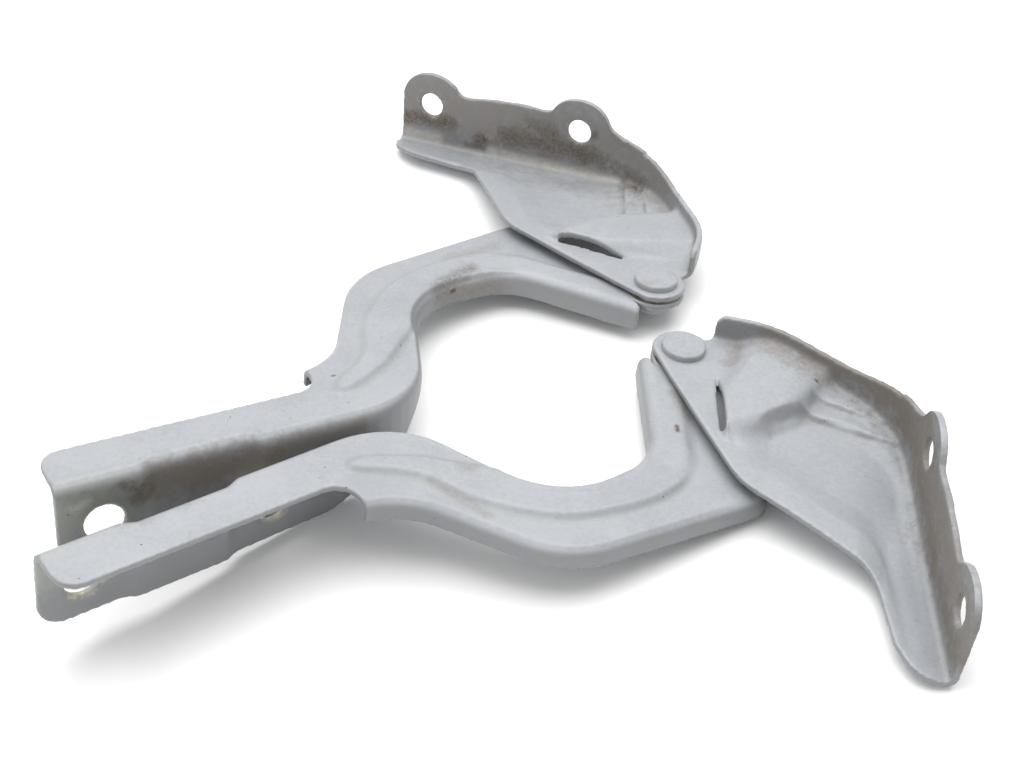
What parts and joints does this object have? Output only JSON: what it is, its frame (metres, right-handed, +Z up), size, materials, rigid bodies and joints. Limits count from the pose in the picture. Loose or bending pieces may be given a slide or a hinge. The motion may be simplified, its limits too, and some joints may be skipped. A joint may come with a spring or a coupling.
{
  "type": "bonnet hinge pair",
  "caption": "Left and right bonnet hinges: a pressed gooseneck arm with a bolt flange, and an eared bonnet bracket that swings on a riveted pivot.",
  "frame": {"origin": "middle of the pair's bounding box on the floor, under the two hinges as they lie", "axes": "+Z up from the floor, +X to the right and +Y away from the viewer of the picture"},
  "size_m": [0.2983, 0.3219, 0.0494],
  "materials": {
    "paint": "satin grey dip coat",
    "bronze": "plain bush bronze",
    "zinc": "dull zinc plate"
  },
  "bodies": {
    "arms": {"right_arm": "paint", "right_rivet": "paint", "right_washer": "zinc", "left_arm": "paint", "left_rivet": "paint", "left_washer": "zinc"},
    "right_swing": {"right_bracket": "paint", "right_bush": "bronze"},
    "left_swing": {"left_bracket": "paint", "left_bush": "bronze"}
  },
  "joints": [
    {"name": "right_pivot", "type": "hinge", "parent": "arms", "child": "right_swing", "pos_m": [0.06517, -0.01255, 0.01413], "axis": [0.1579, 0.0459, 0.9864], "range_deg": [-8, 45]},
    {"name": "left_pivot", "type": "hinge", "parent": "arms", "child": "left_swing", "pos_m": [0.05711, 0.02754, 0.01413], "axis": [-0.104, -0.1274, -0.9864], "range_deg": [-8, 45]}
  ]
}
